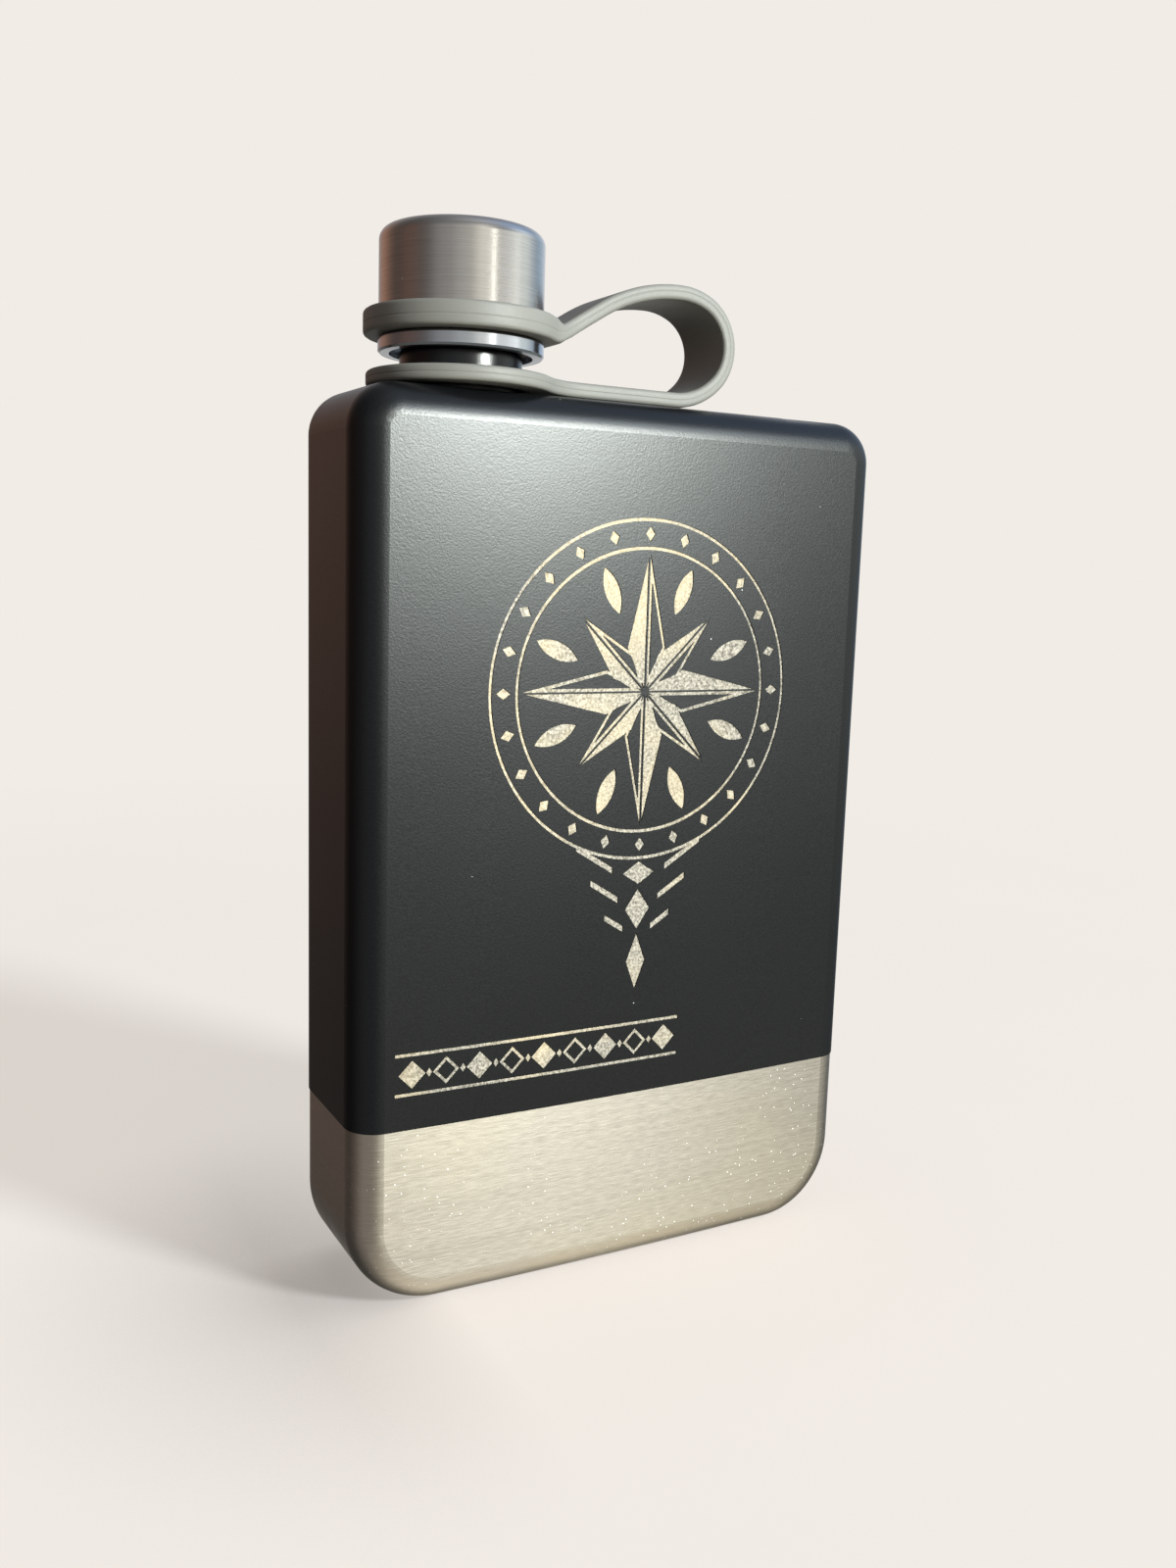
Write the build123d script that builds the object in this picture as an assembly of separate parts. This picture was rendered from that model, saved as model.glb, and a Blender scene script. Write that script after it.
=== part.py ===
"""Hip flask: two welded steel shells, powder coat, threaded neck, screw cap and silicone strap.

Millimetres. +X runs along the flask's width, +Z up, and the decorated front faces -Y.
The origin is the middle of the flask's base. Heights of the neck, cap and strap are
counted from the top of the steel body; above() turns them into heights over the base.
"""
from build123d import *
from math import cos, radians, sin
import os

# ---------------------------------------------------------------- flask body
BODY_WIDTH = 87.8
BODY_HEIGHT = 134.3
BODY_DEPTH = 26.6
FACE_CROWN = 0.85  # how far the middle of each broad face stands out from its edges
TOP_CORNER_RADIUS = 6.4
BOTTOM_CORNER_RADIUS = 13.5
EDGE_RADIUS = 4.6  # rounding between the broad faces and the narrow sides
WALL = 0.6
COAT_THICKNESS = 0.15
COAT_LINE = 28.6  # the coat stops here and the bare steel band begins

# ---------------------------------------------------------------- neck
NECK_X = -24.0
NECK_RADIUS = 8.75
NECK_BOTTOM = -1.4
NECK_COLLAR_TOP = 6.1
NECK_RIM = 18.5
NECK_BORE_RADIUS = 6.4
NECK_CHAMFER = 0.4

# ---------------------------------------------------------------- screw thread
THREAD_PITCH = 3.2
THREAD_BITE = 0.25  # how deep a ridge is sunk into the wall that carries it
NECK_ROOT_RADIUS = 7.6
NECK_CREST_RADIUS = 8.5
NECK_RIDGE_WIDTHS = (1.9, 1.0)  # at the root and at the crest
NECK_RIDGE_START = 9.4
NECK_RIDGE_TURNS = 2.5
SOCKET_RADIUS = 8.75
SOCKET_CREST_RADIUS = 7.85
SOCKET_RIDGE_WIDTHS = (1.75, 0.9)
SOCKET_RIDGE_START = NECK_RIDGE_START - THREAD_PITCH / 2
SOCKET_RIDGE_TURNS = 2.25

# ---------------------------------------------------------------- cap
FLANGE_RADIUS = 12.0
FLANGE_BOTTOM = 5.5
FLANGE_TOP = 7.6
FLANGE_CHAMFER = 0.3
RECESS_RADIUS = 10.4  # shallow counterbore in the underside of the flange
GROOVE_RADIUS = 10.4
CORE_BORE_RADIUS = 9.6
CORE_TOP = 15.5
COVER_RADIUS = 11.9
COVER_WALL = 0.5
COVER_BOTTOM = 11.5
COVER_TOP = 22.8
COVER_EDGE_RADIUS = 1.8
INSERT_BOTTOM = 6.8
INSERT_CEILING = 20.0
SEAL_THICKNESS = 1.5
SEAL_RADIUS = 8.4
SEAL_HOLE_RADIUS = 3.0
GLUE_GAP = 0.05

# ---------------------------------------------------------------- strap
STRAP_WIDTH = 12.0
STRAP_THICKNESS = 2.2
NECK_RING_RADIUS = 13.7
NECK_RING_HOLE = 9.2
NECK_RING_MID = 1.75
CAP_RING_RADIUS = 14.1
CAP_RING_HOLE = 10.7
CAP_RING_MID = 9.2
CAP_RING_BOTTOM = 7.8
CAP_RING_TOP = 11.25
RING_EDGE_RADIUS = 0.7
TAPER_RADIUS = 9.5  # concave rounding, seen from above, between a ring and the band
RISE_X = -12.7  # the band starts to bend up from the cap ring here
RISE_RADIUS = 6.0
RISE_ANGLE = 32.0
RISE_LENGTH = 6.7
CREST_RADIUS = 26.0
SHOULDER_RADIUS = 11.0  # bend between the crest and the tight loop
SHOULDER_ANGLE = 25.0
LOOP_RADIUS = 7.3
RETURN_ANGLE = 45.0
SPLIT_X = -7.0  # the cap ring's share of the moulding ends here
SPLIT_GAP = 0.1
SPLIT_HEIGHT = 6.5

# ---------------------------------------------------------------- ornament cut through the coat
ORNAMENT_X = 1.2
ORNAMENT_Z = 92.0
LINE = 0.5
MEDALLION_RADII = (25.8, 21.6)
BEAD_COUNT = 24
BEAD_SIZE = (1.7, 2.3)
STAR_TIPS = (20.6, 15.6)  # reach of the four long points and of the four short ones
STAR_WAISTS = (6.6, 5.4)
STAR_HALF_WIDTHS = (3.3, 2.5)
STAR_SEAM = LINE / 4  # half of the coat left between the two facets of a point
LEAF_COUNT = 8
LEAF_SIZE = (2.6, 7.4)
LEAF_REACH = 16.2
PENDANT_DIAMONDS = ((27.9, 5.6, 3.6), (33.6, 4.4, 6.4), (41.9, 3.4, 9.0))  # drop, width, height
CHEVRONS = ((30.6, 11.0), (34.6, 8.4), (38.6, 5.8))  # drop of the point, half width
CHEVRON_SLOPE = 0.62
CHEVRON_INNER_SHARE = 0.42  # where a bar starts, as a share of its half width
BORDER_X = (-38.0, 9.5)
BORDER_Z = 37.0
BORDER_HEIGHT = 6.0
BORDER_STEPS = 9
BORDER_SHARES = (0.8, 0.72)  # width and height of a diamond within its cell
BORDER_DOT = (2 * LINE, 3 * LINE)

MARGIN = 5.0  # overshoot of tools that only cut


def above(height):
    """Height over the base of a point given from the top of the steel body."""
    return BODY_HEIGHT + height


def rod(radius, bottom, top):
    """Solid cylinder around the neck axis."""
    return Pos(NECK_X, 0, above((bottom + top) / 2)) * Cylinder(radius, top - bottom)


def turned(points):
    """Solid turned about the neck axis from (radius, height) points."""
    face = Plane.XZ * make_face(Polyline(*points, close=True))
    return Pos(NECK_X, 0, above(0)) * revolve(face, Axis.Z)


# ---------------------------------------------------------------- flask body
def domed_section():
    """Horizontal section of the body: straight sides and gently domed broad faces."""
    x = BODY_WIDTH / 2
    mid = BODY_DEPTH / 2
    edge = mid - FACE_CROWN
    rear = ThreePointArc((x, edge), (0, mid), (-x, edge))
    left = Line((-x, edge), (-x, -edge))
    front = ThreePointArc((-x, -edge), (0, -mid), (x, -edge))
    right = Line((x, -edge), (x, edge))
    return make_face([rear, left, front, right])


def front_outline():
    """Front view of the body: tight corners at the top and wide ones at the base."""
    outline = Rectangle(BODY_WIDTH, BODY_HEIGHT)
    outline = fillet(outline.vertices().group_by(Axis.Y)[0], BOTTOM_CORNER_RADIUS)
    outline = fillet(outline.vertices().group_by(Axis.Y)[-1], TOP_CORNER_RADIUS)
    return Plane.XZ * Pos(0, BODY_HEIGHT / 2) * outline


def make_form():
    """Solid block with the outer form of the steel body."""
    prism = extrude(domed_section(), BODY_HEIGHT)
    block = prism & extrude(front_outline(), BODY_DEPTH, both=True)
    faces = block.faces().sort_by(Axis.Y)
    return fillet(faces[0].edges() + faces[-1].edges(), EDGE_RADIUS)


def make_shells(form):
    """Front and rear halves of the steel body, butt welded round the narrow sides."""
    shell = form - offset(form, -WALL) - rod(NECK_RADIUS, -MARGIN, MARGIN)
    halves = split(shell, bisect_by=Plane.XZ, keep=Keep.BOTH).solids().sort_by(Axis.Y)
    return halves[0], halves[-1]


def make_coat(form):
    """Powder coat over the upper body and the neck's collar, with the ornament cut out."""
    collar = rod(NECK_RADIUS + COAT_THICKNESS, 0, NECK_COLLAR_TOP - NECK_CHAMFER)
    skin = offset(form, COAT_THICKNESS) + collar - form - rod(NECK_RADIUS, -MARGIN, NECK_RIM)
    band = Box(2 * BODY_WIDTH, 2 * BODY_DEPTH, COAT_LINE + MARGIN)
    skin -= Pos(0, 0, (COAT_LINE - MARGIN) / 2) * band
    return skin - ornament_cutter()


# ---------------------------------------------------------------- ornament
def polygon(*points):
    """Filled straight-sided shape."""
    return make_face(Polyline(*points, close=True))


def diamond(width, height):
    """Upright diamond about its own centre."""
    return polygon((width / 2, 0), (0, height / 2), (-width / 2, 0), (0, -height / 2))


def outlined(shape):
    """Only a line of even width inside the edge of a shape."""
    return shape - offset(shape, -LINE, kind=Kind.INTERSECTION)


def ring_line(radius):
    """Thin circle."""
    return Circle(radius) - Circle(radius - LINE)


def around(shape, count, start=0.0):
    """Copies of a shape spread evenly about the centre."""
    return [Rot(0, 0, start + turn * 360 / count) * shape for turn in range(count)]


def star():
    """Eight-pointed star: each point has one filled facet and one outlined facet."""
    shapes = []
    for order, start in enumerate((0, 45)):
        tip = STAR_TIPS[order]
        waist = STAR_WAISTS[order]
        half = STAR_HALF_WIDTHS[order]
        filled = polygon((-STAR_SEAM, LINE), (-half, waist), (-STAR_SEAM, tip - LINE))
        open_facet = outlined(polygon((STAR_SEAM, LINE), (half, waist), (STAR_SEAM, tip)))
        shapes += around(filled, 4, start) + around(open_facet, 4, start)
    return shapes


def leaf():
    """Slender pointed leaf with two curved sides."""
    half, length = LEAF_SIZE[0] / 2, LEAF_SIZE[1] / 2
    right = ThreePointArc((0, -length), (half, 0), (0, length))
    left = ThreePointArc((0, length), (-half, 0), (0, -length))
    return make_face([right, left])


def medallion():
    """Rings, a row of beads, the star and leaves between its points."""
    shapes = [ring_line(radius) for radius in MEDALLION_RADII]
    bead_reach = (sum(MEDALLION_RADII) - LINE) / 2
    shapes += around(Pos(0, bead_reach) * diamond(*BEAD_SIZE), BEAD_COUNT)
    shapes += around(Pos(0, LEAF_REACH) * leaf(), LEAF_COUNT, 180 / LEAF_COUNT)
    return shapes + star()


def pendant():
    """Column of diamonds under the medallion, flanked by chevrons that narrow downwards."""
    shapes = []
    for drop, width, height in PENDANT_DIAMONDS:
        shapes.append(Pos(0, -drop) * diamond(width, height))
    for drop, half in CHEVRONS:
        start = half * CHEVRON_INNER_SHARE
        low = start * CHEVRON_SLOPE - drop
        high = half * CHEVRON_SLOPE - drop
        for side in (-1, 1):
            bar = polygon(
                (side * start, low),
                (side * half, high),
                (side * half, high + 2 * LINE),
                (side * start, low + 2 * LINE),
            )
            shapes.append(bar)
    return shapes


def border():
    """Straight row of diamonds between two thin rules, low on the front."""
    start, end = BORDER_X
    step = (end - start) / BORDER_STEPS
    big = diamond(step * BORDER_SHARES[0], BORDER_HEIGHT * BORDER_SHARES[1])
    shapes = []
    for side in (-1, 1):
        rule = Rectangle(end - start, LINE)
        shapes.append(Pos((start + end) / 2, BORDER_Z + side * BORDER_HEIGHT / 2) * rule)
    for index in range(BORDER_STEPS):
        place = Pos(start + (index + 1 / 2) * step, BORDER_Z)
        shapes.append(place * (outlined(big) if index % 2 else big))
    for index in range(1, BORDER_STEPS):
        shapes.append(Pos(start + index * step, BORDER_Z) * diamond(*BORDER_DOT))
    return shapes


def ornament_cutter():
    """Everything that is engraved through the coat, as prisms through the front wall."""
    place = Pos(ORNAMENT_X, ORNAMENT_Z)
    shapes = [place * shape for shape in medallion() + pendant()] + border()
    return [extrude(Plane.XZ * shape, BODY_DEPTH / 2 + MARGIN) for shape in shapes]


# ---------------------------------------------------------------- neck and thread
def ridge(root, crest, widths, start, turns):
    """Helical ridge standing from the root radius to the crest radius."""
    helix = Helix(THREAD_PITCH, THREAD_PITCH * turns, root)
    outward = 1 if crest > root else -1
    bite = -THREAD_BITE * outward
    reach = crest - root
    half_root, half_crest = (width / 2 for width in widths)
    section = Plane(origin=helix @ 0, x_dir=(1, 0, 0), z_dir=helix % 0) * polygon(
        (bite, -half_root),
        (0, -half_root),
        (reach, -half_crest),
        (reach, half_crest),
        (0, half_root),
        (bite, half_root),
    )
    return Pos(NECK_X, 0, above(start)) * sweep(section, path=helix, is_frenet=True)


def make_neck():
    """Turned neck: coated collar below, threaded spout above, plain bore."""
    collar_edge = NECK_COLLAR_TOP - NECK_CHAMFER
    blank = turned([
        (NECK_BORE_RADIUS, NECK_BOTTOM),
        (NECK_RADIUS, NECK_BOTTOM),
        (NECK_RADIUS, collar_edge),
        (NECK_RADIUS - NECK_CHAMFER, NECK_COLLAR_TOP),
        (NECK_ROOT_RADIUS, NECK_COLLAR_TOP),
        (NECK_ROOT_RADIUS, NECK_RIM - NECK_CHAMFER),
        (NECK_ROOT_RADIUS - NECK_CHAMFER, NECK_RIM),
        (NECK_BORE_RADIUS, NECK_RIM),
    ])
    thread = ridge(
        NECK_ROOT_RADIUS, NECK_CREST_RADIUS, NECK_RIDGE_WIDTHS, NECK_RIDGE_START, NECK_RIDGE_TURNS
    )
    return blank + thread


# ---------------------------------------------------------------- cap
def make_cover():
    """Drawn steel cup that dresses the cap, rounded at its top edge."""
    inner = COVER_RADIUS - COVER_WALL
    ceiling = COVER_TOP - COVER_WALL
    cup = rod(COVER_RADIUS, COVER_BOTTOM, COVER_TOP)
    cup = fillet(cup.edges().sort_by(Axis.Z)[-1], COVER_EDGE_RADIUS)
    hollow = rod(inner, COVER_BOTTOM - MARGIN, ceiling)
    hollow = fillet(hollow.edges().sort_by(Axis.Z)[-1], COVER_EDGE_RADIUS - COVER_WALL)
    return cup - hollow


def make_core():
    """Turned metal spool: flange below, groove for the strap, spigot inside the cover."""
    spigot = COVER_RADIUS - COVER_WALL - GLUE_GAP
    return turned([
        (RECESS_RADIUS, FLANGE_BOTTOM),
        (FLANGE_RADIUS - FLANGE_CHAMFER, FLANGE_BOTTOM),
        (FLANGE_RADIUS, FLANGE_BOTTOM + FLANGE_CHAMFER),
        (FLANGE_RADIUS, FLANGE_TOP - FLANGE_CHAMFER),
        (FLANGE_RADIUS - FLANGE_CHAMFER, FLANGE_TOP),
        (GROOVE_RADIUS, FLANGE_TOP),
        (GROOVE_RADIUS, COVER_BOTTOM),
        (spigot, COVER_BOTTOM),
        (spigot, CORE_TOP),
        (CORE_BORE_RADIUS, CORE_TOP),
        (CORE_BORE_RADIUS, INSERT_BOTTOM),
        (RECESS_RADIUS, INSERT_BOTTOM),
    ])


def make_insert():
    """Moulded plastic lining with the cap's thread and the seat of the seal."""
    sleeve = CORE_BORE_RADIUS - GLUE_GAP
    head = COVER_RADIUS - COVER_WALL - GLUE_GAP
    top = COVER_TOP - COVER_WALL - GLUE_GAP
    shoulder = CORE_TOP + GLUE_GAP
    bevel = COVER_EDGE_RADIUS - COVER_WALL
    blank = turned([
        (0, INSERT_CEILING),
        (SOCKET_RADIUS, INSERT_CEILING),
        (SOCKET_RADIUS, INSERT_BOTTOM),
        (sleeve, INSERT_BOTTOM),
        (sleeve, shoulder),
        (head, shoulder),
        (head, top - bevel),
        (head - bevel, top),
        (0, top),
    ])
    thread = ridge(
        SOCKET_RADIUS, SOCKET_CREST_RADIUS, SOCKET_RIDGE_WIDTHS, SOCKET_RIDGE_START, SOCKET_RIDGE_TURNS
    )
    return blank + thread


def make_seal():
    """Loose silicone washer between the neck's rim and the ceiling of the insert."""
    bottom = INSERT_CEILING - SEAL_THICKNESS
    washer = rod(SEAL_RADIUS, bottom, INSERT_CEILING)
    return washer - rod(SEAL_HOLE_RADIUS, bottom - MARGIN, INSERT_CEILING + MARGIN)


# ---------------------------------------------------------------- strap
def return_radius():
    """Radius of the loop's last bend, so that the band comes down level with the neck ring."""
    rise, shoulder, back = (cos(radians(a)) for a in (RISE_ANGLE, SHOULDER_ANGLE, RETURN_ANGLE))
    height = CAP_RING_MID + RISE_LENGTH * sin(radians(RISE_ANGLE))
    height += (RISE_RADIUS + CREST_RADIUS) * (1 - rise)
    height -= SHOULDER_RADIUS * (1 - shoulder) + LOOP_RADIUS * (shoulder + back)
    return (height - NECK_RING_MID) / (1 - back)


def band_edge(side):
    """One face of the band in side view, from the cap ring round the loop to the neck ring.

    side is the distance to the left of the band's middle line, seen along its run.
    """
    loop_angle = 180 - SHOULDER_ANGLE - RETURN_ANGLE
    far = NECK_X - CAP_RING_RADIUS - MARGIN
    run = [Line((far, CAP_RING_MID + side), (RISE_X, CAP_RING_MID + side))]
    bends = (
        (RISE_RADIUS - side, RISE_ANGLE, RISE_LENGTH),
        (CREST_RADIUS + side, -RISE_ANGLE, 0),
        (SHOULDER_RADIUS + side, -SHOULDER_ANGLE, 0),
        (LOOP_RADIUS + side, -loop_angle, 0),
        (return_radius() + side, -RETURN_ANGLE, 0),
    )
    for radius, turn, straight in bends:
        run.append(JernArc(run[-1] @ 1, run[-1] % 1, radius, turn))
        if straight:
            run.append(Line(run[-1] @ 1, (run[-1] @ 1) + (run[-1] % 1) * straight))
    run.append(Line(run[-1] @ 1, (far, NECK_RING_MID - side)))
    return run


def band_profile():
    """Side view of the whole band as one closed face."""
    outer = band_edge(STRAP_THICKNESS / 2)
    inner = band_edge(-STRAP_THICKNESS / 2)
    ends = [Line(outer[0] @ 0, inner[0] @ 0), Line(outer[-1] @ 1, inner[-1] @ 1)]
    return Pos(0, 0, above(0)) * (Plane.XZ * make_face(outer + inner + ends))


def strap_plan():
    """View from above: a round pad about the neck that tapers into the band."""
    reach = BODY_WIDTH / 2
    pad = Pos(NECK_X, 0) * Circle(NECK_RING_RADIUS)
    band = Pos(NECK_X + reach / 2, 0) * Rectangle(reach, STRAP_WIDTH)
    plan = pad + band
    corners = plan.vertices().sort_by(Axis.X)
    last = NECK_X + NECK_RING_RADIUS
    junctions = [corner for corner in corners if NECK_X + STRAP_WIDTH / 2 < corner.X < last]
    return fillet(junctions, TAPER_RADIUS)


def make_strap():
    """Silicone strap: the neck ring with its loop, and the cap ring that rises with the cap."""
    side_view = extrude(band_profile(), CAP_RING_RADIUS, both=True)
    blank = side_view & extrude(strap_plan(), 2 * BODY_HEIGHT)
    blank -= rod(NECK_RING_HOLE, -MARGIN, SPLIT_HEIGHT)

    span = 2 * CAP_RING_RADIUS + 2 * MARGIN
    cap_end = Box(span, span, span, align=(Align.MAX, Align.CENTER, Align.MIN))
    loop = blank - Pos(SPLIT_X, 0, above(SPLIT_HEIGHT)) * cap_end

    pad = rod(CAP_RING_RADIUS, CAP_RING_BOTTOM, CAP_RING_TOP)
    pad = fillet(pad.edges().filter_by(GeomType.CIRCLE), RING_EDGE_RADIUS)
    ring = (blank & Pos(SPLIT_X - SPLIT_GAP, 0, above(SPLIT_HEIGHT)) * cap_end) + pad
    ring -= rod(CAP_RING_HOLE, SPLIT_HEIGHT, CAP_RING_TOP + MARGIN)
    return loop, ring


def build():
    """Every node of the flask by name."""
    form = make_form()
    front_shell, rear_shell = make_shells(form)
    strap_loop, strap_cap_ring = make_strap()
    return {
        "front_shell": front_shell,
        "rear_shell": rear_shell,
        "powder_coat": make_coat(form),
        "neck": make_neck(),
        "cap_cover": make_cover(),
        "cap_core": make_core(),
        "cap_thread_insert": make_insert(),
        "seal_washer": make_seal(),
        "strap_loop": strap_loop,
        "strap_cap_ring": strap_cap_ring,
    }


os.makedirs("parts", exist_ok=True)
for node, shape in build().items():
    export_step(shape, f"parts/{node}.step")
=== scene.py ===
"""Looks of the hip flask: materials, the silicone strap, soft studio light and the camera."""

from math import atan2, cos, pi, radians, sin

import bmesh
import bpy
from mathutils import Matrix, Vector


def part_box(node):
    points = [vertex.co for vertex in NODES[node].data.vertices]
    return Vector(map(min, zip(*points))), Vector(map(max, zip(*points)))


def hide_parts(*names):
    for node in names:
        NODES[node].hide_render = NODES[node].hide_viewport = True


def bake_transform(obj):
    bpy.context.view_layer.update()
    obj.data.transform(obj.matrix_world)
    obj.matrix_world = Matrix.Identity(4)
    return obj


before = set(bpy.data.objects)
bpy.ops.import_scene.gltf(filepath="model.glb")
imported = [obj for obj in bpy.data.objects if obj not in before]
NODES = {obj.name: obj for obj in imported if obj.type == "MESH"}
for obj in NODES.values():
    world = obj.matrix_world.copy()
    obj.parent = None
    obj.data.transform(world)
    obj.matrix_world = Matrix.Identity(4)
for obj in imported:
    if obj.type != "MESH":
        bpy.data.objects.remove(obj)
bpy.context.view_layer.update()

# ---------------------------------------------------------------- places in metres, and shared colours
MM = 0.001
BAND_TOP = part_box("powder_coat")[0].z  # the coat's lower edge, above the bare band
BODY_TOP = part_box("front_shell")[1].z
COLLAR_FROM = BODY_TOP + 0.2 * MM  # the coat above this is the neck's collar
ENGRAVED_TO = -12.6 * MM  # y behind which no ornament is cut through the coat
SOFT_EDGE = 0.1 * MM  # width over which one finish gives way to the next
PALE = (0.879, 0.839, 0.791)  # backdrop
COAT_BLACK = (0.003, 0.0037, 0.0047)  # about the coat's average colour
COAT_ROUGHNESS = 0.32
DUST = (0.80, 0.80, 0.77)


def direction(azimuth, elevation):
    """Unit vector; azimuth 0 is straight out of the front (-Y) and 90 is +X."""
    turn, tilt = radians(azimuth), radians(elevation)
    return Vector((sin(turn) * cos(tilt), -cos(turn) * cos(tilt), sin(tilt)))


# ---------------------------------------------------------------- camera
CAMERA_PLACE = (-0.1062, -0.1916, 0.1101)
CAMERA_TURN = (28.82, -8.87, 1.77)  # yaw, pitch and roll in degrees
CAMERA_LENS = 31.7  # mm, on a sensor 36 mm wide


def make_camera():
    """Camera a little left of the front and just below the cap, as a phone would be held."""
    yaw, pitch, roll = (radians(angle) for angle in CAMERA_TURN)
    ahead = Vector((sin(yaw) * cos(pitch), cos(yaw) * cos(pitch), sin(pitch)))
    level = Vector((cos(yaw), -sin(yaw), 0))
    up = level.cross(ahead)
    right = level * cos(roll) + up * sin(roll)
    top = up * cos(roll) - level * sin(roll)
    data = bpy.data.cameras.new("camera")
    data.sensor_width = 36
    data.lens = CAMERA_LENS
    data.clip_start = 0.01
    camera = bpy.data.objects.new("camera", data)
    bpy.context.scene.collection.objects.link(camera)
    turn = Matrix((right, top, -ahead)).transposed().to_4x4()
    camera.matrix_world = Matrix.Translation(CAMERA_PLACE) @ turn
    bpy.context.scene.camera = camera


# ---------------------------------------------------------------- node helpers
class Nodes:
    """A node tree with short calls for the nodes that are used here.

    A value is a number, a colour or a vector, or another node's output socket.
    """

    def __init__(self, tree):
        self.tree = tree

    def node(self, kind, **settings):
        made = self.tree.nodes.new(kind)
        for key, value in settings.items():
            setattr(made, key, value)
        return made

    def feed(self, socket, value):
        """Links an output socket to an input, or sets the input's constant."""
        if isinstance(value, bpy.types.NodeSocket):
            self.tree.links.new(value, socket)
        else:
            socket.default_value = value

    def combine(self, kind, operation, values):
        """A math or vector math node with its inputs fed in order."""
        made = self.node(kind, operation=operation)
        for socket, value in zip(made.inputs, values):
            self.feed(socket, value)
        return made

    def math(self, operation, a, b=0.0, c=0.0):
        return self.combine("ShaderNodeMath", operation, (a, b, c)).outputs[0]


class Shader(Nodes):
    """A material with a Principled shader. Places and sizes in it are in metres."""

    def __init__(self, name):
        self.material = bpy.data.materials.new(name)
        self.material.use_nodes = True
        super().__init__(self.material.node_tree)
        self.bsdf = self.tree.nodes["Principled BSDF"]
        self.place = self.node("ShaderNodeTexCoord").outputs["Object"]

    def scaled(self, scale):
        """The shaded point's place, times a scale for each axis."""
        made = self.node("ShaderNodeMapping")
        self.feed(made.inputs["Vector"], self.place)
        made.inputs["Scale"].default_value = scale
        return made.outputs[0]

    def noise(self, scale, detail=2.0, rough=0.5, stretch=(1, 1, 1)):
        """Noise between 0 and 1, with about scale * stretch cells to a metre along each axis."""
        made = self.node("ShaderNodeTexNoise")
        self.feed(made.inputs["Vector"], self.scaled([scale * axis for axis in stretch]))
        made.inputs["Scale"].default_value = 1.0
        made.inputs["Detail"].default_value = detail
        made.inputs["Roughness"].default_value = rough
        return made.outputs["Fac"]

    def dots(self, spacing, size):
        """1 inside scattered specks of a size, about a spacing apart, and 0 elsewhere."""
        made = self.node("ShaderNodeTexVoronoi")
        self.feed(made.inputs["Vector"], self.scaled([1 / spacing] * 3))
        made.inputs["Scale"].default_value = 1.0
        return self.math("LESS_THAN", made.outputs["Distance"], size / spacing)

    def along(self, axis):
        """Coordinate of the shaded point along X, Y or Z."""
        parts = self.node("ShaderNodeSeparateXYZ")
        self.feed(parts.inputs[0], self.place)
        return parts.outputs[axis]

    def span(self, value, start, end, out_start=0.0, out_end=1.0):
        """Maps start..end to out_start..out_end in a straight line, and holds it outside."""
        made = self.node("ShaderNodeMapRange")
        for socket, number in zip(made.inputs[:5], (value, start, end, out_start, out_end)):
            self.feed(socket, number)
        return made.outputs[0]

    def mix(self, factor, a, b):
        """Blend of two colours."""
        made = self.node("ShaderNodeMix", data_type="RGBA")
        self.feed(made.inputs[0], factor)
        for socket, value in zip(made.inputs[6:8], (a, b)):
            self.feed(socket, value if isinstance(value, bpy.types.NodeSocket) else (*value, 1))
        return made.outputs[2]

    def mix_number(self, factor, a, b):
        """Blend of two numbers."""
        made = self.node("ShaderNodeMix", data_type="FLOAT")
        for socket, value in zip((made.inputs[0], made.inputs[2], made.inputs[3]), (factor, a, b)):
            self.feed(socket, value)
        return made.outputs[0]

    def bump(self, layers):
        """Bump from (height, depth in metres) layers, chained."""
        normal = None
        for height, depth in layers:
            made = self.node("ShaderNodeBump")
            made.inputs["Distance"].default_value = depth
            self.feed(made.inputs["Height"], height)
            if normal is not None:
                self.feed(made.inputs["Normal"], normal)
            normal = made.outputs[0]
        self.feed(self.bsdf.inputs["Normal"], normal)

    def set(self, **values):
        """Feeds the Principled shader's inputs, named with _ for a space."""
        for key, value in values.items():
            self.feed(self.bsdf.inputs[key.replace("_", " ")], value)


def give(material, *nodes):
    """Puts a material on every slot of the CAD nodes."""
    for node in nodes:
        for slot in NODES[node].material_slots:
            slot.material = material


# ---------------------------------------------------------------- materials
def dusted(s, colour, metal, rough, spacing=4.5 * MM, size=0.10 * MM):
    """Sets colour, metal and roughness, with a few pale specks of dust on top."""
    dust = s.math("MULTIPLY", s.dots(spacing, size), s.span(s.noise(90), 0.48, 0.60))
    s.set(Base_Color=s.mix(dust, colour, DUST), Roughness=s.mix_number(dust, rough, 0.9))
    if metal:
        s.set(Metallic=s.math("SUBTRACT", 1.0, dust))


def powder_coat():
    """Blue-black satin powder coat: fine grain, cloudy gloss, and a glossier neck collar."""
    s = Shader("powder_coat_black")
    grain = s.noise(3300, 2, 0.6)
    peel = s.noise(420, 2)
    cloud = s.noise(28, 3)
    tint = s.mix(grain, (0.0010, 0.0014, 0.0020), (0.0045, 0.0056, 0.0072))
    satin = s.math("ADD", s.span(cloud, 0.3, 0.7, 0.315, 0.33), s.span(grain, 0.2, 0.8, -0.03, 0.03))
    collar = s.span(s.along("Z"), COLLAR_FROM, COLLAR_FROM + 2 * SOFT_EDGE)
    dusted(s, tint, False, s.math("MULTIPLY_ADD", collar, -0.10, satin))
    s.bump([(peel, 0.003 * MM), (grain, 0.015 * MM)])
    return s.material


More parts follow.
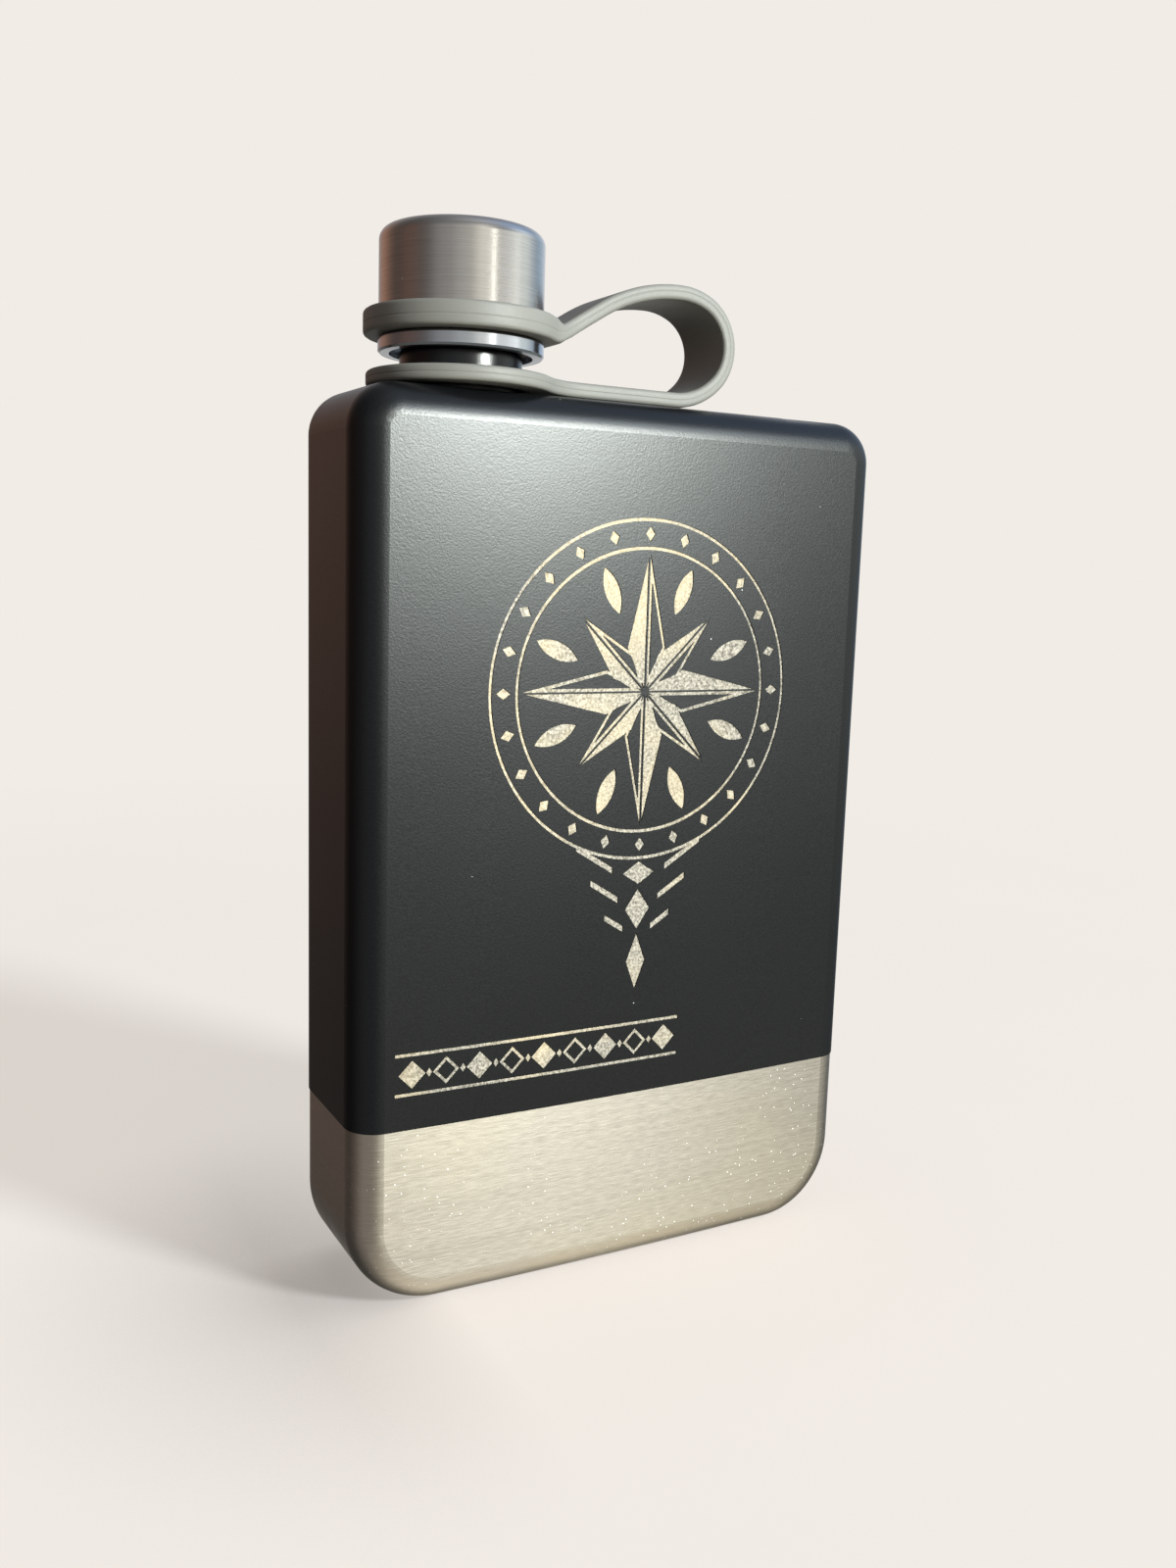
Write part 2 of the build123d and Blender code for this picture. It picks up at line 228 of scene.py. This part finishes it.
def tangent(s):
    """Brushing direction: round the upright axis."""
    made = s.node("ShaderNodeTangent", direction_type="RADIAL", axis="Z")
    s.feed(s.bsdf.inputs["Tangent"], made.outputs[0])
    s.bsdf.inputs["Anisotropic Rotation"].default_value = 0.25


def body_steel():
    """Steel brushed along the width, and etched where the ornament is cut through the coat.

    Behind the engraved face the coat covers it, so there it takes the coat's own black.
    """
    s = Shader("body_steel_brushed")
    fine = s.noise(1, 1, 0.5, (450, 450, 9000))
    broad = s.noise(1, 0, 0.5, (25, 25, 3600))
    patch = s.noise(32, 2, 0.4, (1, 1, 1.6))
    fleck = s.noise(2400, 2, 0.7)
    cloud = s.noise(45, 3)
    glint = s.math("MULTIPLY", s.dots(1.0 * MM, 0.09 * MM), s.span(s.noise(55), 0.42, 0.58))
    covered = s.span(s.along("Z"), BAND_TOP, BAND_TOP + SOFT_EDGE)
    behind = s.span(s.along("Y"), ENGRAVED_TO, ENGRAVED_TO + SOFT_EDGE)
    hidden = s.math("MULTIPLY", covered, behind)
    streak = s.math("MULTIPLY_ADD", fine, 0.8, s.math("MULTIPLY", broad, 0.2))
    brushed = s.mix(s.span(streak, 0.35, 0.65), (0.635, 0.577, 0.515), (0.74, 0.675, 0.605))
    brushed = s.mix(s.span(patch, 0.4, 0.65), brushed, s.mix(0.3, brushed, (0.84, 0.74, 0.55)))
    brushed = s.mix(glint, brushed, (1.0, 0.99, 0.95))
    speckle = s.mix(s.span(fleck, 0.35, 0.65), (0.137, 0.122, 0.104), (0.44, 0.40, 0.345))
    etched = s.mix(s.span(cloud, 0.45, 0.6), speckle, s.mix(0.45, speckle, (0.58, 0.47, 0.30)))
    rough = s.math("MULTIPLY_ADD", glint, 0.25, s.span(streak, 0.35, 0.65, 0.31, 0.34))
    shown = s.math("SUBTRACT", 1.0, hidden)
    s.set(
        Base_Color=s.mix(hidden, s.mix(covered, brushed, etched), COAT_BLACK),
        Roughness=s.mix_number(hidden, s.mix_number(covered, rough, 0.66), COAT_ROUGHNESS),
        Metallic=shown,
        Anisotropic=0.55,
    )
    tangent(s)
    grooves = s.math("MULTIPLY", fine, s.math("SUBTRACT", 1.0, covered))
    s.bump([(grooves, 0.005 * MM), (s.math("MULTIPLY", fleck, shown), 0.004 * MM)])
    return s.material


def cap_steel():
    """Steel brushed round the cap."""
    s = Shader("cap_steel_brushed")
    fine = s.noise(1, 2, 0.6, (130, 130, 9500))
    broad = s.noise(1, 1, 0.5, (70, 70, 4200))
    streak = s.math("MULTIPLY_ADD", fine, 0.75, s.math("MULTIPLY", broad, 0.25))
    colour = s.mix(s.span(streak, 0.3, 0.7), (0.56, 0.54, 0.51), (0.74, 0.72, 0.69))
    dusted(s, colour, True, s.span(streak, 0.3, 0.7, 0.20, 0.28), 3.0 * MM, 0.08 * MM)
    s.set(Anisotropic=0.7)
    tangent(s)
    s.bump([(fine, 0.008 * MM)])
    return s.material


def turned_steel():
    """Fine lathe finish on the cap's spool and on the neck."""
    s = Shader("turned_steel_fine")
    lines = s.noise(1, 2, 0.6, (40, 40, 9000))
    s.set(Base_Color=s.mix(lines, (0.5, 0.53, 0.58), (0.66, 0.69, 0.74)))
    s.set(Metallic=1.0, Anisotropic=0.4, Roughness=s.span(lines, 0.3, 0.7, 0.14, 0.24))
    tangent(s)
    s.bump([(lines, 0.004 * MM)])
    return s.material


def silicone():
    """Warm grey matt silicone with a fine moulded grain."""
    s = Shader("strap_silicone_grey")
    grain = s.noise(3000, 2)
    cloud = s.noise(120, 3)
    colour = s.mix(cloud, (0.205, 0.199, 0.181), (0.245, 0.238, 0.217))
    dusted(s, colour, False, s.span(grain, 0.3, 0.7, 0.5, 0.6), 3.0 * MM, 0.07 * MM)
    s.bump([(grain, 0.01 * MM)])
    return s.material


def insert_plastic():
    """Black moulded polypropylene."""
    s = Shader("insert_plastic_black")
    grain = s.noise(1500, 2)
    s.set(Base_Color=s.mix(grain, (0.02, 0.02, 0.021), (0.035, 0.035, 0.037)))
    s.set(Roughness=s.span(grain, 0.3, 0.7, 0.4, 0.5))
    s.bump([(grain, 0.01 * MM)])
    return s.material


def seal_silicone():
    """Milky soft silicone of the loose washer."""
    s = Shader("seal_silicone_white")
    grain = s.noise(1500, 2)
    s.set(Base_Color=s.mix(grain, (0.62, 0.62, 0.6), (0.7, 0.7, 0.68)))
    s.set(Roughness=s.span(grain, 0.3, 0.7, 0.42, 0.52))
    s.bump([(grain, 0.01 * MM)])
    return s.material


def dress_nodes():
    """Materials of the CAD nodes."""
    body, turned = body_steel(), turned_steel()
    give(body, "front_shell", "rear_shell")
    give(powder_coat(), "powder_coat")
    give(turned, "neck", "cap_core")
    give(cap_steel(), "cap_cover")
    give(insert_plastic(), "cap_thread_insert")
    give(seal_silicone(), "seal_washer")


# ---------------------------------------------------------------- strap, in mm
NECK_X = (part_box("neck")[0].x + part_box("neck")[1].x) / 2 / MM
STRAP_HALF_WIDTH = 6.0
STRAP_THICKNESS = 2.2
STRAP_EDGE = 0.55  # rounding of the long edges
PARTING_LINE = ((0, 0.24), (0, 0.15), (-0.11, 0.06), (0, -0.03), (0, -0.12))  # (out, height) on the edge
CAP_RING = {"outer": 14.1, "hole": 10.7, "rise": 2.05, "drop": -1.4}  # radii, and heights of its faces
NECK_RING = {"outer": 13.7, "hole": 9.2, "rise": 1.1, "drop": -1.1}
TAPER_RADIUS = 9.5  # fillets in plan between a ring and the band
FADE = (-0.2, 0.9)  # past a ring's outline, where its thickness turns into the band's
LEVEL = 9.2  # middle of the band at the cap ring, above the body's top
ROUTE = (  # length or radius in mm, turn in degrees: the band's run from the cap ring to the neck ring
    (11.3, 0),
    (6.0, 32),
    (6.7, 0),
    (26.0, -32),
    (11.0, -25),
    (7.3, -110),
    (10.4, -45),
)
RAYS = 132  # rays round a ring
RAY_STEPS = 16  # faces along a ray, from a ring's hole to its outline
COLUMNS = 10  # faces across the band
BAND_STEP = 0.6  # length of the band's faces
WELD = 0.004  # vertices closer than this become one
SAME_PLACE = 1e-6  # rounding error that still counts as no distance


def route_pieces():
    """The band's run as (start x, start z, heading, length, curvature) pieces.

    The last piece runs straight back under the loop to the neck's axis.
    """
    x, z, heading = NECK_X, LEVEL, 0.0
    pieces = []
    for size, turn in ROUTE:
        if turn:
            length = size * abs(radians(turn))
            bend = radians(turn) / length
        else:
            length, bend = size, 0.0
        pieces.append((x, z, heading, length, bend))
        x, z, heading = piece_end(pieces[-1], length)
    pieces.append((x, z, heading, x - NECK_X, 0.0))
    return pieces


def piece_end(piece, run):
    """Place and heading after a run along one piece."""
    x, z, heading, _, bend = piece
    if bend == 0:
        return x + run * cos(heading), z + run * sin(heading), heading
    after = heading + run * bend
    return x + (sin(after) - sin(heading)) / bend, z - (cos(after) - cos(heading)) / bend, after


def on_route(pieces, run):
    """Place and heading at any distance along the run; past both ends it goes straight on."""
    for piece in pieces[:-1]:
        if run <= piece[3]:
            return piece_end(piece, run) if run > 0 else (piece[0] + run, piece[1], 0.0)
        run -= piece[3]
    return piece_end(pieces[-1], run)


def edge_profile(top, bottom):
    """Points (out, height) of the moulding's rounded edge between its two faces, with the parting line."""
    turns = [radians(angle) for angle in (22.5, 45, 67.5, 90)]
    upper = [(STRAP_EDGE * sin(t), top - STRAP_EDGE * (1 - cos(t))) for t in turns]
    lower = [(STRAP_EDGE * sin(t), bottom + STRAP_EDGE * (1 - cos(t))) for t in reversed(turns)]
    return upper + [(STRAP_EDGE + out, height) for out, height in PARTING_LINE] + lower


def taper_centre(ring):
    """Centre in plan, (along, across), of the fillet between a ring and the band."""
    across = STRAP_HALF_WIDTH + TAPER_RADIUS
    return ((ring["outer"] + TAPER_RADIUS) ** 2 - across**2) ** 0.5, across


def outline_at(ring, angle):
    """A ring's outline in plan, inset by the rounding of its edge, along one ray.

    Gives its distance from the axis, its outward normal, and whether the band joins on there.
    """
    centre = taper_centre(ring)
    ray = cos(angle), abs(sin(angle))
    mirror = 1 if angle >= 0 else -1
    corner = Vector((centre[0], STRAP_HALF_WIDTH - STRAP_EDGE))  # where the fillet meets the band's edge
    past_corner = ray[1] * corner.x - ray[0] * corner.y
    if ray[0] > 0 and past_corner <= 0:
        return corner.x / ray[0], Vector((0, mirror)), past_corner < -SAME_PLACE
    along = ray[0] * centre[0] + ray[1] * centre[1]
    half_chord_squared = (TAPER_RADIUS + STRAP_EDGE) ** 2 - (centre[0] ** 2 + centre[1] ** 2 - along**2)
    if ray[0] > 0 and ray[1] * centre[0] < ray[0] * centre[1] and half_chord_squared > 0:
        reach = along - half_chord_squared**0.5
        point = Vector((ray[0] * reach, ray[1] * reach))
        out = (Vector(centre) - point).normalized()
        return reach, Vector((out.x, out.y * mirror)), False
    return ring["outer"] - STRAP_EDGE, Vector((ray[0], ray[1] * mirror)), False


def wrap(angle):
    """The same angle between -pi and pi."""
    return angle - 2 * pi if angle > pi else angle


def ring_angles(ring):
    """Angles of a ring's rays: one to each column across the band, then even turns round the rest."""
    cut = taper_centre(ring)[0]
    edge = STRAP_HALF_WIDTH - STRAP_EDGE
    across = [atan2(edge * (2 * i / COLUMNS - 1), cut) for i in range(COLUMNS + 1)]
    rest = RAYS - COLUMNS
    start, sweep = across[-1], 2 * pi - 2 * across[-1]
    return across + [wrap(start + sweep * i / rest) for i in range(1, rest)]


def smooth(value, start, end):
    """Goes from 0 at the start to 1 at the end, level at both."""
    t = min(max((value - start) / (end - start), 0), 1)
    return t * t * (3 - 2 * t)


def ring_faces(ring, reach):
    """Heights of the upper and lower face at a distance from the ring's axis."""
    half = STRAP_THICKNESS / 2
    fade = smooth(reach, ring["outer"] + FADE[0], ring["outer"] + FADE[1])
    return ring["rise"] + (half - ring["rise"]) * fade, ring["drop"] - (half + ring["drop"]) * fade


def ring_section(ring, angle):
    """One ray's rows of points (along, across, height): upper face, rim, lower face, edge of the hole."""
    reach, out, joins_band = outline_at(ring, angle)
    hole = ring["hole"] + STRAP_EDGE
    ray = Vector((cos(angle), sin(angle)))
    steps = [hole + (reach - hole) * i / RAY_STEPS for i in range(RAY_STEPS + 1)]
    upper = [(*(ray * step), ring_faces(ring, step)[0]) for step in steps]
    lower = [(*(ray * step), ring_faces(ring, step)[1]) for step in reversed(steps)]
    hole_profile = edge_profile(ring["rise"], ring["drop"])
    hole_edge = [(*(ray * (hole - inward)), height) for inward, height in reversed(hole_profile)]
    if joins_band:
        return upper, [], lower, hole_edge
    rim_profile = edge_profile(*ring_faces(ring, reach))
    rim = [(*(ray * reach + out * outward), height) for outward, height in rim_profile]
    return upper, rim, lower, hole_edge


def add_strip(bm, first, second):
    """Quads between two rows of vertices."""
    for i in range(len(first) - 1):
        bm.faces.new((first[i], first[i + 1], second[i + 1], second[i]))


def add_ring(bm, ring, place):
    """One ring of the strap, out to where the plain band begins."""
    rays = []
    for angle in ring_angles(ring):
        section = ring_section(ring, angle)
        rays.append([[bm.verts.new(place(*point)) for point in row] for row in section])
    for (upper, rim, lower, hole), (upper2, rim2, lower2, hole2) in zip(rays, rays[1:] + rays[:1]):
        add_strip(bm, upper, upper2)
        add_strip(bm, lower, lower2)
        add_strip(bm, [lower[-1], *hole, upper[0]], [lower2[-1], *hole2, upper2[0]])
        if rim and rim2:
            add_strip(bm, [upper[-1], *rim, lower[0]], [upper2[-1], *rim2, lower2[0]])


def add_band(bm, start, end, place):
    """The plain band between the two rings."""
    half = STRAP_THICKNESS / 2
    edge = STRAP_HALF_WIDTH - STRAP_EDGE
    across = [edge * (2 * i / COLUMNS - 1) for i in range(COLUMNS + 1)]
    rim = edge_profile(half, -half)
    section = [(side, half) for side in across]
    section += [(edge + outward, height) for outward, height in rim]
    section += [(side, -half) for side in reversed(across)]
    section += [(-edge - outward, height) for outward, height in reversed(rim)]
    count = round((end - start) / BAND_STEP)
    rows = []
    for i in range(count + 1):
        run = start + (end - start) * i / count
        rows.append([bm.verts.new(place(run, side, height)) for side, height in section])
    for first, second in zip(rows, rows[1:]):
        add_strip(bm, first + first[:1], second + second[:1])


def make_strap():
    """Moulded silicone strap: two rings joined by the looped band."""
    pieces = route_pieces()
    whole = sum(piece[3] for piece in pieces)

    def from_cap(run, across, height):
        """The place in metres at a run from the cap's axis, a side step and a height off the middle."""
        x, z, heading = on_route(pieces, run)
        x -= height * sin(heading)
        z += height * cos(heading)
        return Vector((x * MM, across * MM, BODY_TOP + z * MM))

    def from_neck(run, across, height):
        """The same, with the run counted back from the neck's axis at the other end."""
        return from_cap(whole - run, across, height)

    bm = bmesh.new()
    add_ring(bm, CAP_RING, from_cap)
    add_ring(bm, NECK_RING, from_neck)
    add_band(bm, taper_centre(CAP_RING)[0], whole - taper_centre(NECK_RING)[0], from_cap)
    bmesh.ops.remove_doubles(bm, verts=bm.verts, dist=WELD * MM)
    bmesh.ops.recalc_face_normals(bm, faces=bm.faces)
    mesh = bpy.data.meshes.new("silicone_strap")
    bm.to_mesh(mesh)
    bm.free()
    mesh.polygons.foreach_set("use_smooth", [True] * len(mesh.polygons))
    strap = bpy.data.objects.new("silicone_strap", mesh)
    bpy.context.scene.collection.objects.link(strap)
    mesh.materials.append(silicone())
    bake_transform(strap)
    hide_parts("strap_loop", "strap_cap_ring")


# ---------------------------------------------------------------- floor, in metres
FLOOR_HALF = 6.0
FLOOR_TINT = (0.25, 0.20, 0.14)  # warm, because the light from above is cool
FLOOR_GLOW = 0.71  # strength of its glow near the flask, where the backdrop's is 1
OPEN_FLOOR = (0.22, 0.52)  # distances between which the floor turns into plain backdrop
CONTACT_REACH = 0.055  # reach of the painted contact shadow round the flask's foot
LEE_SIDE = (-0.050, -0.028)  # x between which the painted contact shadow gives way, from the lamps' lee side to the lit side
LEE_SHARE = (0.9, 0.1)  # its share on each


def make_floor():
    """Pale floor; far from the flask it glows at the backdrop's colour, so no edge shows. Round the
    flask's foot its glow carries a painted contact shadow, deep on the lee side.
    """
    mesh = bpy.data.meshes.new("floor")
    corners = [(x * FLOOR_HALF, y * FLOOR_HALF, 0) for x, y in ((-1, -1), (1, -1), (1, 1), (-1, 1))]
    mesh.from_pydata(corners, [], [(0, 1, 2, 3)])
    floor = bpy.data.objects.new("floor", mesh)
    bpy.context.scene.collection.objects.link(floor)
    s = Shader("floor_pale")
    reach = s.combine("ShaderNodeVectorMath", "LENGTH", (s.place,))
    far = s.span(reach.outputs["Value"], *OPEN_FLOOR)
    grain = s.span(s.noise(9, 3), 0.3, 0.7, 0.985, 1.0)
    s.set(Base_Color=s.mix(far, FLOOR_TINT, (0, 0, 0)), Roughness=0.9)
    s.set(Specular_IOR_Level=0.0, Emission_Color=(*PALE, 1))
    # painted contact shadow: ambient occlusion darkens the floor's glow round the flask's foot, mostly on
    # the lee side
    painted_contact_shadow = s.node("ShaderNodeAmbientOcclusion", samples=8)
    painted_contact_shadow.inputs["Distance"].default_value = CONTACT_REACH
    lee = s.span(s.along("X"), *LEE_SIDE, *LEE_SHARE)
    shade = s.mix_number(lee, 1.0, s.math("POWER", painted_contact_shadow.outputs["AO"], 2.0))
    near_glow = s.math("MULTIPLY", s.math("MULTIPLY", grain, shade), FLOOR_GLOW)
    s.set(Emission_Strength=s.math("MULTIPLY_ADD", far, s.math("SUBTRACT", 1.0, near_glow), near_glow))
    mesh.materials.append(s.material)
    floor.visible_diffuse = False
    floor.visible_glossy = False
    return floor


# ---------------------------------------------------------------- light
DIM = (0.038, 0.038, 0.036)  # surroundings between the lobes
LOBES = (  # azimuth, elevation, sharpness, colour: soft panels and surfaces all round
    (-160, 12, 14, (0.25, 0.09, 0.03)),
    (-100, 12, 14, (0.10, 0.042, 0.025)),
    (-60, 45, 8, (0.08, 0.08, 0.09)),
    (-50, 14, 24, (0.22, 0.22, 0.22)),
    (-22, 14, 24, (0.48, 0.48, 0.46)),
    (6, 16, 30, (1.15, 1.12, 1.02)),
    (70, 12, 14, (0.85, 0.86, 0.74)),
    (78, 40, 9, (0.15, 0.30, 0.60)),
    (20, 62, 7, (0.42, 0.43, 0.45)),
    (116, 14, 14, (0.24, 0.36, 0.48)),
    (160, 40, 4, (0.26, 0.26, 0.28)),
    (148, 14, 13, (0.55, 0.55, 0.57)),
    (148, -24, 13, (0.45, 0.44, 0.40)),
    (-60, -22, 8, (0.19, 0.17, 0.16)),
    (30, -22, 8, (0.19, 0.185, 0.14)),
    (25, -62, 8, (0.92, 0.86, 0.70)),
)
LAMPS = (  # name, what it lights, azimuth, elevation, distance, size, watts, colour
    ("key", "body", 22, 15, 1.2, (0.34, 0.20), 22.0, (0.94, 1.0, 0.95)),
    ("cap_key", "cap", 19, 13, 1.2, (0.12, 0.20), 0.22, (1.0, 0.98, 0.9)),
    ("cap_panel", "cap", 36, 13, 1.2, (1.2, 0.30), 0.8, (1.0, 0.99, 0.95)),
    ("fill", "body", 30, 32, 1.2, (0.6, 0.4), 4.0, (0.80, 0.92, 1.0)),
    ("shadow_lamp", "floor", 33, 30, 4.8, (0.88, 0.88), 544.0, (0.58, 0.70, 1.0)),
)


def make_world():
    """Studio surroundings: dim and warm on the left, soft bright panels in front and right."""
    world = bpy.data.worlds.new("studio")
    bpy.context.scene.world = world
    world.use_nodes = True
    sky = Nodes(world.node_tree)
    place = sky.node("ShaderNodeTexCoord").outputs["Generated"]
    total = DIM
    for azimuth, elevation, sharp, colour in LOBES:
        toward = sky.combine("ShaderNodeVectorMath", "DOT_PRODUCT", (place, direction(azimuth, elevation)))
        lobe = sky.math("EXPONENT", sky.math("MULTIPLY_ADD", toward.outputs["Value"], sharp, -sharp))
        total = sky.combine("ShaderNodeVectorMath", "MULTIPLY_ADD", (lobe, colour, total)).outputs[0]
    lighting = sky.tree.nodes["Background"]
    backdrop = sky.node("ShaderNodeBackground")
    camera_ray = sky.node("ShaderNodeLightPath").outputs["Is Camera Ray"]
    choose = sky.node("ShaderNodeMixShader")
    sky.feed(lighting.inputs["Color"], total)
    sky.feed(backdrop.inputs["Color"], (*PALE, 1))
    for socket, value in zip(choose.inputs, (camera_ray, lighting.outputs[0], backdrop.outputs[0])):
        sky.feed(socket, value)
    sky.feed(sky.tree.nodes["World Output"].inputs["Surface"], choose.outputs[0])


def area_light(name, azimuth, elevation, distance, size, power, colour):
    """Softbox that faces the middle of the body."""
    aim = Vector((0, 0, BODY_TOP / 2))
    data = bpy.data.lights.new(name, "AREA")
    data.shape = "ELLIPSE"
    data.size, data.size_y = size
    data.energy = power
    data.color = colour
    lamp = bpy.data.objects.new(name, data)
    bpy.context.scene.collection.objects.link(lamp)
    away = direction(azimuth, elevation)
    lamp.location = aim + away * distance
    lamp.rotation_euler = away.to_track_quat("Z", "Y").to_euler()
    return lamp


def light_only(lamp, objects):
    """Limits a lamp to the given objects."""
    group = bpy.data.collections.new(lamp.name + "_lit")
    for item in objects:
        group.objects.link(item)
    lamp.light_linking.receiver_collection = group


def make_lights(floor):
    """Key and fill for the body, a key and a panel for the cap, and a lamp that throws the shadow."""
    cap = [NODES[name] for name in ("cap_cover", "cap_core", "neck")]
    meshes = [item for item in bpy.context.scene.objects if item.type == "MESH"]
    body = [item for item in meshes if item is not floor and item not in cap]
    lit = {"cap": cap, "body": body, "floor": [floor]}
    for name, target, *lamp in LAMPS:
        light_only(area_light(name, *lamp), lit[target])


# ---------------------------------------------------------------- the scene
bpy.context.scene.view_settings.view_transform = "Standard"
make_camera()
make_world()
dress_nodes()
make_strap()
make_lights(make_floor())
